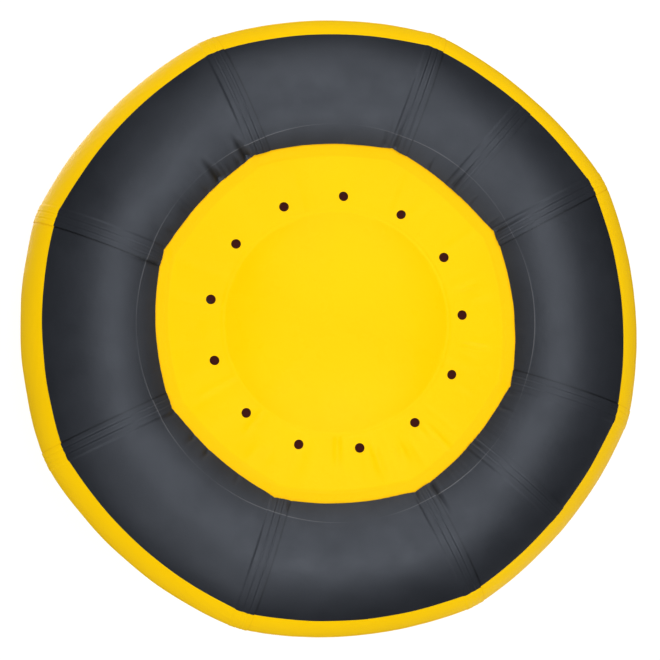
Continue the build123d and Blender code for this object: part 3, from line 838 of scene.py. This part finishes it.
def build_tow_point():
    segment = NAMED["front"]
    patch = patch_mesh("tow_patch", segment, TOW_ANGLE + 10, 112, 108, 28, PATCH_THICK)
    finish_piece(patch, "black_pvc", "hull", "tow_patch")
    origin, along, up, out = local_frame(segment, TOW_ANGLE)
    base = 0.1 + PATCH_THICK + 0.1
    bar = base + 4.05 + WEB_THICK
    ring_radius = 4.05 + WEB_THICK / 2
    lower, upper = [], []
    for step in range(0, 9):
        lower.append(on_deck(segment, TOW_ANGLE, 0, 66 - step * 6.6, base + WEB_THICK / 2))
        upper.append(on_deck(segment, TOW_ANGLE, 0, 66 - step * 6.0, base + WEB_THICK * 1.5 + 0.05))
    turns = [math.radians(t) for t in range(-90, -311, -20)]
    loop = [origin + up * (ring_radius * math.cos(a)) + out * (bar + ring_radius * math.sin(a))
            for a in turns]
    path = lower + loop + upper[::-1]
    verts, faces = ribbon(path, along, 38.0, WEB_THICK)
    webbing = sharpen(mesh_object("tow_webbing", verts, faces), 60)
    finish_piece(webbing, "webbing", "hull", "tow_webbing")
    rows = []
    top = base + 2 * WEB_THICK + 0.05
    for y0, y1 in ((16, 36), (40, 60)):
        corners = [(-15, y0), (15, y0), (15, y1), (-15, y1)]
        loops = corners + corners[:1] + [corners[2]] + [corners[1], corners[3]]
        for (xa, ya), (xb, yb) in list(zip(loops, loops[1:]))[:5] + [(corners[1], corners[3])]:
            a = on_deck(segment, TOW_ANGLE, xa, ya, top)
            b = on_deck(segment, TOW_ANGLE, xb, yb, top)
            rows.append((a, b, out))
    thread_verts, thread_faces = stitches(rows, 0.6)
    finish_piece(mesh_object("tow_stitching", thread_verts, thread_faces), "thread", "hull")


# ---- materials ----
class Finish:
    """A node material: constants sit on the shader's sockets, and textures feed colour, roughness, bump."""

    def __init__(self, name, roughness, **sockets):
        self.material = bpy.data.materials.new(name)
        self.material.use_nodes = True
        self.tree = self.material.node_tree
        self.shader = self.tree.nodes["Principled BSDF"]
        self.shader.inputs["Roughness"].default_value = roughness
        for socket, value in sockets.items():
            self.shader.inputs[socket.replace("_", " ")].default_value = value
        self.height = None
        self.where = self.make("ShaderNodeTexCoord").outputs["Object"]

    def make(self, kind, **settings):
        node = self.tree.nodes.new(kind)
        for key, value in settings.items():
            setattr(node, key, value)
        return node

    def link(self, source, target):
        self.tree.links.new(source, target)

    def noise(self, scale, detail=3.0, roughness=0.5, stretch=None):
        node = self.make("ShaderNodeTexNoise")
        node.inputs["Scale"].default_value = scale
        node.inputs["Detail"].default_value = detail
        node.inputs["Roughness"].default_value = roughness
        source = self.where
        if stretch:
            place = self.make("ShaderNodeMapping")
            place.inputs["Scale"].default_value = stretch
            self.link(self.where, place.inputs["Vector"])
            source = place.outputs["Vector"]
        self.link(source, node.inputs["Vector"])
        return node.outputs["Fac"]

    def value(self, label):
        return self.make("ShaderNodeAttribute", attribute_name=label).outputs["Fac"]

    def span(self, source, low, high, to_low=0.0, to_high=1.0):
        node = self.make("ShaderNodeMapRange")
        node.inputs["From Min"].default_value = low
        node.inputs["From Max"].default_value = high
        node.inputs["To Min"].default_value = to_low
        node.inputs["To Max"].default_value = to_high
        self.link(source, node.inputs["Value"])
        return node.outputs["Result"]

    def maths(self, operation, first, second):
        node = self.make("ShaderNodeMath", operation=operation)
        for socket, item in zip(node.inputs, (first, second)):
            if isinstance(item, (int, float)):
                socket.default_value = item
            else:
                self.link(item, socket)
        return node.outputs["Value"]

    def blend(self, factor, low, high):
        node = self.make("ShaderNodeMix", data_type="RGBA")
        self.link(factor, node.inputs["Factor"])
        for socket, item in ((node.inputs[6], low), (node.inputs[7], high)):
            if isinstance(item, tuple):
                socket.default_value = (*item, 1.0)
            else:
                self.link(item, socket)
        return node.outputs[2]

    def colour(self, source):
        self.link(source, self.shader.inputs["Base Color"])

    def rough(self, source):
        self.link(source, self.shader.inputs["Roughness"])

    def bump(self, source, distance, strength=1.0):
        node = self.make("ShaderNodeBump")
        node.inputs["Distance"].default_value = distance
        node.inputs["Strength"].default_value = strength
        self.link(source, node.inputs["Height"])
        if self.height is not None:
            self.link(self.height, node.inputs["Normal"])
        self.height = node.outputs["Normal"]
        self.link(self.height, self.shader.inputs["Normal"])

    def weave(self, pitch, depth):
        """Two crossed waves, as threads over and under."""
        waves = []
        for axis in ("X", "Y"):
            node = self.make("ShaderNodeTexWave", wave_type="BANDS", bands_direction=axis, wave_profile="SIN")
            node.inputs["Scale"].default_value = 1 / pitch / 3.2
            self.link(self.where, node.inputs["Vector"])
            waves.append(node.outputs["Fac"])
        both = self.maths("MULTIPLY", *waves)
        self.bump(both, depth)
        return both


def black_pvc():
    finish = Finish("black_pvc", 0.5, IOR=1.52, Specular_IOR_Level=0.85, Specular_Tint=(0.80, 0.87, 1.0, 1.0))
    cloud = finish.noise(7.0, 4.0, 0.6)
    base = finish.blend(finish.span(cloud, 0.35, 0.65), (0.0120, 0.0136, 0.0180), (0.0165, 0.0185, 0.0240))
    scuffs = finish.noise(46.0, 6.0, 0.7, (1.0, 1.0, 0.5))
    base = finish.blend(finish.span(scuffs, 0.66, 0.80, 0.0, 0.3), base, (0.070, 0.072, 0.076))
    dust = finish.noise(420.0, 2.0, 0.6)
    base = finish.blend(finish.span(dust, 0.755, 0.80, 0.0, 0.5), base, (0.17, 0.17, 0.165))
    dirt = finish.noise(160.0, 3.0, 0.6)
    base = finish.blend(finish.span(dirt, 0.70, 0.78, 0.0, 0.6), base, (0.006, 0.006, 0.007))
    base = finish.blend(finish.span(finish.value("weld"), 0.2, 1.0, 0.0, 0.85), base, (0.12, 0.12, 0.125))
    base = finish.blend(finish.span(finish.value("shade"), 0.1, 1.0, 0.0, 0.88), base, (0.003, 0.003, 0.0035))
    finish.colour(base)
    finish.rough(finish.span(finish.noise(16.0, 5.0, 0.6), 0.3, 0.7, 0.47, 0.57))
    finish.weave(0.0011, 0.00002)
    finish.bump(finish.noise(60.0, 4.0, 0.55), 0.00035)
    return finish.material


def yellow_pvc(name, low, high, roughness, gloss, tint):
    """Yellow sheet between two colours. Its gloss is kept low and tinted, so that the colour stays full."""
    finish = Finish(name, roughness, IOR=1.3, Specular_IOR_Level=gloss, Specular_Tint=(*tint, 1.0))
    cloud = finish.noise(6.0, 3.0, 0.5)
    base = finish.blend(finish.span(cloud, 0.35, 0.65), low, high)
    grime_and_painted_shade = finish.noise(38.0, 6.0, 0.7)
    dusty, painted_shade_orange = (0.72, 0.44, 0.004), (0.50, 0.25, 0.002)
    base = finish.blend(finish.span(grime_and_painted_shade, 0.64, 0.84, 0.0, 0.2), base, dusty)
    # the shade layer paints the laps' dark edges, contact shadows and fold shade in this darker orange
    base = finish.blend(finish.span(finish.value("shade"), 0.1, 1.0, 0.0, 0.6), base, painted_shade_orange)
    finish.rough(finish.span(finish.noise(18.0, 4.0, 0.6), 0.3, 0.7, roughness - 0.06, roughness + 0.07))
    finish.weave(0.0011, 0.00002)
    finish.bump(finish.noise(50.0, 3.0, 0.5), 0.0003)
    return finish, base


def side_yellow():
    low, high, tint = (0.94, 0.570, 0.0002), (0.96, 0.590, 0.0004), (1.0, 0.8, 0.15)
    finish, base = yellow_pvc("yellow_pvc", low, high, 0.5, 0.06, tint)
    finish.colour(base)
    return finish.material


def floor_yellow():
    low, high, tint = (0.96, 0.540, 0.0001), (0.97, 0.556, 0.0002), (1.0, 0.85, 0.22)
    finish, base = yellow_pvc("floor_pvc", low, high, 0.28, 0.42, tint)
    band = finish.span(finish.value("band"), 0.0, 1.0, 0.0, 0.7)
    tinted = finish.blend(band, base, (0.93, 0.500, 0.0002))
    line = finish.span(finish.value("weld"), 0.2, 1.0, 0.0, 0.5)
    finish.colour(finish.blend(line, tinted, (0.85, 0.48, 0.0003)))
    return finish.material


def webbing():
    finish = Finish("webbing", 0.78, Sheen_Weight=0.25, Sheen_Roughness=0.4)
    threads = finish.weave(0.0016, 0.00035)
    shade = finish.maths("MULTIPLY", threads, finish.span(finish.noise(900.0, 2.0), 0.2, 0.8, 0.6, 1.2))
    finish.colour(finish.blend(shade, (0.008, 0.008, 0.009), (0.035, 0.035, 0.038)))
    finish.bump(finish.noise(1500.0, 2.0), 0.0001)
    return finish.material


def fabric():
    finish = Finish("black_fabric", 0.88, Specular_IOR_Level=0.25, Sheen_Weight=0.04, Sheen_Roughness=0.45)
    threads = finish.weave(0.0009, 0.00018)
    wear = finish.span(finish.noise(22.0, 4.0, 0.6), 0.35, 0.7, 0.0, 0.5)
    base = finish.blend(threads, (0.010, 0.010, 0.011), (0.030, 0.030, 0.033))
    base = finish.blend(wear, base, (0.036, 0.035, 0.035))
    base = finish.blend(finish.span(finish.value("weld"), 0.2, 1.0, 0.0, 0.7), base, (0.008, 0.008, 0.009))
    # underside painted dark red-brown: painted shade with painted yellow bounce light from the floor
    finish.colour(finish.blend(finish.value("beneath"), base, (0.042, 0.0016, 0.0002)))
    finish.bump(finish.noise(35.0, 4.0, 0.6), 0.0012)
    return finish.material


def thread():
    finish = Finish("thread", 0.6, Sheen_Weight=0.2)
    finish.colour(finish.blend(finish.noise(800.0, 2.0), (0.03, 0.03, 0.032), (0.09, 0.09, 0.092)))
    return finish.material


def moulded(name, low, high, roughness, grain):
    finish = Finish(name, roughness)
    finish.colour(finish.blend(finish.span(finish.noise(40.0, 5.0, 0.6), 0.3, 0.7), low, high))
    finish.rough(finish.span(finish.noise(90.0, 3.0), 0.3, 0.7, roughness - 0.08, roughness + 0.08))
    finish.bump(finish.noise(grain, 2.0), 0.00008)
    return finish.material


def steel(name, roughness):
    finish = Finish(name, roughness, Metallic=1.0)
    finish.colour(finish.blend(finish.noise(60.0, 4.0), (0.50, 0.50, 0.51), (0.66, 0.66, 0.67)))
    brush = finish.noise(120.0, 4.0, 0.6, (1.0, 14.0, 14.0))
    finish.rough(finish.span(brush, 0.3, 0.7, roughness - 0.08, roughness + 0.14))
    finish.bump(brush, 0.00003)
    return finish.material


MATERIALS = {
    "black_pvc": black_pvc(),
    "yellow_pvc": side_yellow(),
    "floor_pvc": floor_yellow(),
    "black_fabric": fabric(),
    "webbing": webbing(),
    "thread": thread(),
    "foam": moulded("foam", (0.10, 0.10, 0.11), (0.15, 0.15, 0.16), 0.9, 700.0),
    "grip_rubber": moulded("grip_rubber", (0.016, 0.016, 0.017), (0.030, 0.030, 0.031), 0.72, 900.0),
    "stainless": steel("stainless", 0.24),
    "spring_steel": steel("spring_steel", 0.3),
    "valve_plastic": moulded("valve_plastic", (0.014, 0.014, 0.015), (0.024, 0.024, 0.026), 0.42, 500.0),
    "valve_soft": moulded("valve_soft", (0.020, 0.020, 0.022), (0.034, 0.034, 0.036), 0.55, 450.0),
    "valve_seal_rubber": moulded("valve_seal_rubber", (0.28, 0.28, 0.29), (0.36, 0.36, 0.37), 0.7, 600.0),
}


def finish_piece(thing, look, body, *nodes):
    """Gives a piece the material named for one of the record's slots and its body, and hides the CAD nodes
    that it stands for.
    """
    thing.data.materials.clear()
    thing.data.materials.append(MATERIALS[look])
    if body:
        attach(thing, body)
    if nodes:
        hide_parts(*nodes)
    return thing


def finish_cad_nodes():
    """The turned and moulded CAD pieces keep their shape and take their node materials."""
    for entry in frame["record"]["subparts"]:
        thing = frame["nodes"][entry["node"]]
        if thing.hide_render:
            continue
        look = entry["material_slot"]
        thing.data.materials.clear()
        thing.data.materials.append(MATERIALS[look])


def squeeze_spring():
    """Gives the valve's spring a copy of its mesh of its own."""
    spring = frame["nodes"]["valve_spring"]
    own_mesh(spring)


# ---- the studio ----
def one_sided(name, colour, glow):
    """A paper sheet that shows only from its front."""
    material = bpy.data.materials.new(name)
    material.use_nodes = True
    tree = material.node_tree
    tree.nodes.clear()
    out = tree.nodes.new("ShaderNodeOutputMaterial")
    mix = tree.nodes.new("ShaderNodeMixShader")
    paper = tree.nodes.new("ShaderNodeBsdfPrincipled")
    paper.inputs["Base Color"].default_value = (*colour, 1.0)
    paper.inputs["Roughness"].default_value = 1.0
    paper.inputs["Specular IOR Level"].default_value = 0.0
    paper.inputs["Emission Color"].default_value = (1, 1, 1, 1)
    paper.inputs["Emission Strength"].default_value = glow
    clear = tree.nodes.new("ShaderNodeBsdfTransparent")
    side = tree.nodes.new("ShaderNodeNewGeometry")
    tree.links.new(side.outputs["Backfacing"], mix.inputs[0])
    tree.links.new(paper.outputs[0], mix.inputs[1])
    tree.links.new(clear.outputs[0], mix.inputs[2])
    tree.links.new(mix.outputs[0], out.inputs["Surface"])
    return material


def paper_sheet(name, height, radius, faces_up, colour, glow):
    sides = 96
    ring = [(radius * math.cos(2 * math.pi * k / sides), radius * math.sin(2 * math.pi * k / sides), 0)
            for k in range(sides)]
    order = tuple(range(sides)) if faces_up else tuple(reversed(range(sides)))
    mesh = bpy.data.meshes.new(name)
    mesh.from_pydata(ring, [], [order])
    sheet = bpy.data.objects.new(name, mesh)
    sheet.location.z = height
    bpy.context.collection.objects.link(sheet)
    mesh.materials.append(one_sided(name, colour, glow))
    sheet.visible_shadow = False
    sheet.visible_diffuse = False
    sheet.visible_glossy = False


def area_light(name, place, target, size, power, colour=(1, 1, 1)):
    light = bpy.data.lights.new(name, "AREA")
    light.shape = "DISK"
    light.size = size
    light.energy = power
    light.color = colour
    holder = bpy.data.objects.new(name, light)
    holder.location = place
    holder.rotation_euler = (Vector(target) - Vector(place)).to_track_quat("-Z", "Y").to_euler()
    bpy.context.collection.objects.link(holder)


def build_studio():
    paper_sheet("floor", 0.0, 30.0, True, (0.34, 0.34, 0.34), 0.55)
    paper_sheet("backdrop", CAD_BOX[1].z + 0.006, 1.3, False, (0.22, 0.22, 0.22), 0.84)
    middle = (0, 0, 0.15)
    area_light("key_below", (0.15, 0.95, -2.55), middle, 1.9, 26)
    area_light("fill_below", (0.35, -1.05, -2.55), middle, 1.9, 20)
    area_light("wide_front", (0.1, -2.6, -1.7), middle, 2.2, 17)
    area_light("wide_rear", (-1.5, 2.2, -1.8), middle, 2.2, 15)
    area_light("key_above", (-1.6, -1.7, 2.9), middle, 2.2, 50)
    area_light("fill_above", (1.8, 1.4, 2.2), middle, 2.4, 18)
    world = bpy.data.worlds.new("studio")
    bpy.context.scene.world = world
    world.use_nodes = True
    tree = world.node_tree
    tree.nodes.clear()
    rays = tree.nodes.new("ShaderNodeLightPath")
    out = tree.nodes.new("ShaderNodeOutputWorld")

    def backdrop(strength, shade=1.0):
        node = tree.nodes.new("ShaderNodeBackground")
        node.inputs["Color"].default_value = (shade, shade, shade, 1)
        node.inputs["Strength"].default_value = strength
        return node.outputs[0]

    def choose(ray, otherwise, chosen):
        node = tree.nodes.new("ShaderNodeMixShader")
        tree.links.new(rays.outputs[ray], node.inputs[0])
        tree.links.new(otherwise, node.inputs[1])
        tree.links.new(chosen, node.inputs[2])
        return node.outputs[0]

    # soft light from all round, dimmer in reflections, and a pale wall behind the object
    lit = choose("Is Glossy Ray", backdrop(0.62), backdrop(0.015))
    tree.links.new(choose("Is Camera Ray", lit, backdrop(1.0, 0.93)), out.inputs["Surface"])


def build_camera():
    """Below the tube, nearly square on, with the tow ring's side to the right."""
    roll, tilt, bearing, distance = 3.4, 5.39, 33.8, 3.2
    right = Vector((1, 0, 0))
    picture_up = Vector((0, -1, 0))
    forward = Vector((0, 0, 1))
    lean = math.radians(tilt)
    way = right * math.cos(math.radians(bearing)) + picture_up * math.sin(math.radians(bearing))
    look = (forward * math.cos(lean) + way * math.sin(lean)).normalized()
    centre = Vector((0, 0, SPINE_HEIGHT * MM))
    spin = Matrix.Rotation(math.radians(roll), 3, look)
    side = (right - look * right.dot(look)).normalized()
    side = spin @ side
    up = look.cross(side) * -1
    rotation = Matrix((side, up, -look)).transposed()
    data = bpy.data.cameras.new("camera")
    data.sensor_width = 36.0
    frame_width = 1.3028
    data.lens = data.sensor_width * distance / frame_width
    data.shift_x, data.shift_y = -0.0022, -0.0057
    data.clip_start, data.clip_end = 0.05, 60
    camera = bpy.data.objects.new("camera", data)
    camera.matrix_world = Matrix.Translation(centre - look * distance) @ rotation.to_4x4()
    bpy.context.collection.objects.link(camera)
    bpy.context.scene.camera = camera
    bpy.context.scene.view_settings.view_transform = "Standard"
    bpy.context.scene.view_settings.look = "None"


build_camera()
build_studio()
build_hull()
build_floor()
build_seat()
for handle in ("front_left", "rear_left", "rear_right", "front_right"):
    build_handle(handle)
build_tow_point()
finish_cad_nodes()
squeeze_spring()

bpy.context.view_layer.update()
